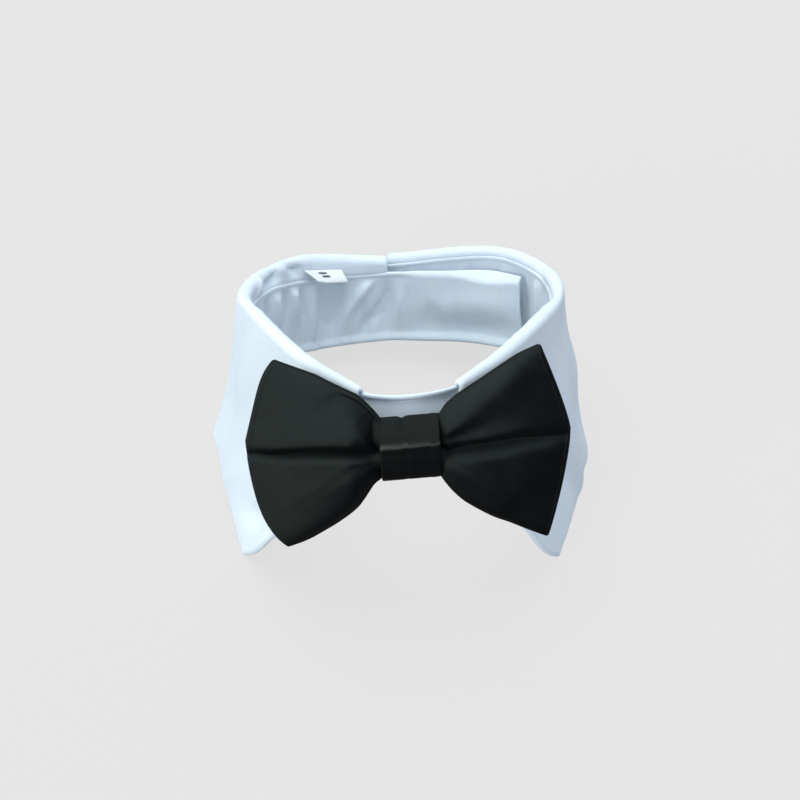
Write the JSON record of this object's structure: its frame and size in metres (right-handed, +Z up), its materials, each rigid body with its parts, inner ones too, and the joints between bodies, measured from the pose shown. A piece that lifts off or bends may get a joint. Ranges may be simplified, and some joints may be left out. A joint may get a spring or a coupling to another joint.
{
  "type": "pet shirt collar with a bow tie",
  "caption": "White shirt collar for a small pet with a black pre-tied bow at the throat and a hook-and-loop overlap at the back of the neck.",
  "frame": {"origin": "on the surface that the collar stands on, under the middle of its bounding box", "axes": "+Z up, -Y towards the bow at the front of the neck, +Y towards the closure at the back, +X to the right of someone who faces the bow"},
  "size_m": [0.1229, 0.1287, 0.0964],
  "materials": {
    "cotton": "plain woven white shirt cotton, pressed, matt",
    "hook_and_loop": "pale hook-and-loop tape",
    "label_tape": "smooth white woven tape",
    "black_cloth": "fine black cloth with a low soft sheen"
  },
  "bodies": {
    "root": {"neck_band": "cotton", "leaf_left": "cotton", "leaf_right": "cotton", "fastener_pad": "hook_and_loop", "size_label": "label_tape", "bow_loops": "black_cloth", "bow_knot": "black_cloth"}
  },
  "joints": []
}
